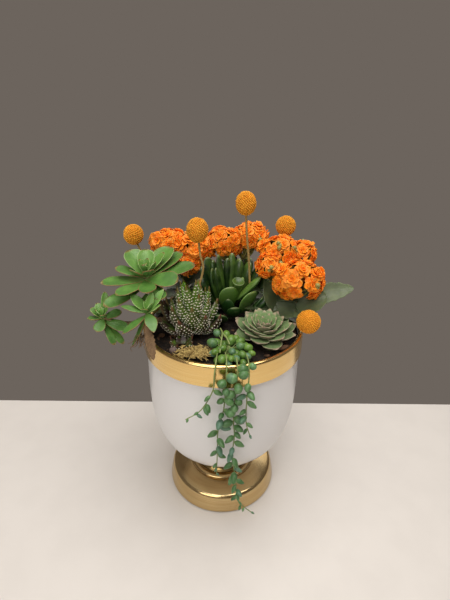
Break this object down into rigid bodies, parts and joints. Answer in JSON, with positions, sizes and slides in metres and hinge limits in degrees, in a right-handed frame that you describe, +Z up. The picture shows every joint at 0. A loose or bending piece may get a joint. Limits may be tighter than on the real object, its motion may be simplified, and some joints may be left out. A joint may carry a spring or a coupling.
{
  "type": "potted succulent arrangement",
  "caption": "White pedestal planter with a gold rim band and foot, holding mixed succulents, orange kalanchoe, billy button flowers and trailing strings of pearls.",
  "frame": {"origin": "centre of the underside of the foot's felt pad, on the pot's axis", "axes": "+Z is up along the pot's axis, -Y is the front where the strings of pearls hang, +X is to the right seen from the front"},
  "size_m": [0.2758, 0.1842, 0.3523],
  "materials": {
    "enamel": "white satin-gloss enamel",
    "gold": "brushed, lacquered gold finish",
    "steel": "plain zinc-plated steel",
    "felt": "dark felt",
    "soil": "dark peat potting soil with bark",
    "moss": "dry golden moss",
    "stone": "rough pinkish stone",
    "aeonium": "waxy green leaf with a pale pink margin",
    "bark": "corky brown stem",
    "haworthia": "dark green to brown leaf with white raised bands",
    "echeveria": "bloomy grey-green leaf with a pale pink margin",
    "jade": "glossy dark green leaf with a reddish tip",
    "leaf": "grey-green leaf with a satin skin",
    "petal": "soft saturated orange petal",
    "pearl": "waxy green bead leaf",
    "button": "granular mustard-orange flower head",
    "straw": "dry straw-tan stalk"
  },
  "bodies": {
    "root": {"aeonium_rosette_left": "aeonium", "aeonium_rosette_middle": "aeonium", "aeonium_rosette_top": "aeonium", "aeonium_stem": "bark", "bark_chip_right": "bark", "base_pad": "felt", "billy_button_head_1": "button", "billy_button_head_2": "button", "billy_button_head_3": "button", "billy_button_head_4": "button", "billy_button_head_5": "button", "billy_button_stalk_1": "straw", "billy_button_stalk_2": "straw", "billy_button_stalk_3": "straw", "billy_button_stalk_4": "straw", "billy_button_stalk_5": "straw", "bolt_nut": "steel", "bolt_washer": "steel", "bowl_shell": "enamel", "echeveria_rosette": "echeveria", "finger_jade": "jade", "foot_collar": "gold", "haworthia_rosette": "haworthia", "kalanchoe_leaf_centre": "leaf", "kalanchoe_leaf_far_right": "leaf", "kalanchoe_leaf_notch": "leaf", "kalanchoe_leaf_right": "leaf", "kalanchoe_left_flowers": "petal", "kalanchoe_middle_flowers": "petal", "kalanchoe_right_flowers": "petal", "moss_tuft": "moss", "neck_spool": "gold", "pearl_clump": "pearl", "pearl_string_left": "pearl", "pearl_string_long": "pearl", "pearl_string_right": "pearl", "pearl_string_short": "pearl", "pebble_left": "stone", "pedestal_foot": "gold", "potting_soil": "soil", "rim_band": "gold", "tie_bolt": "steel"}
  },
  "joints": []
}
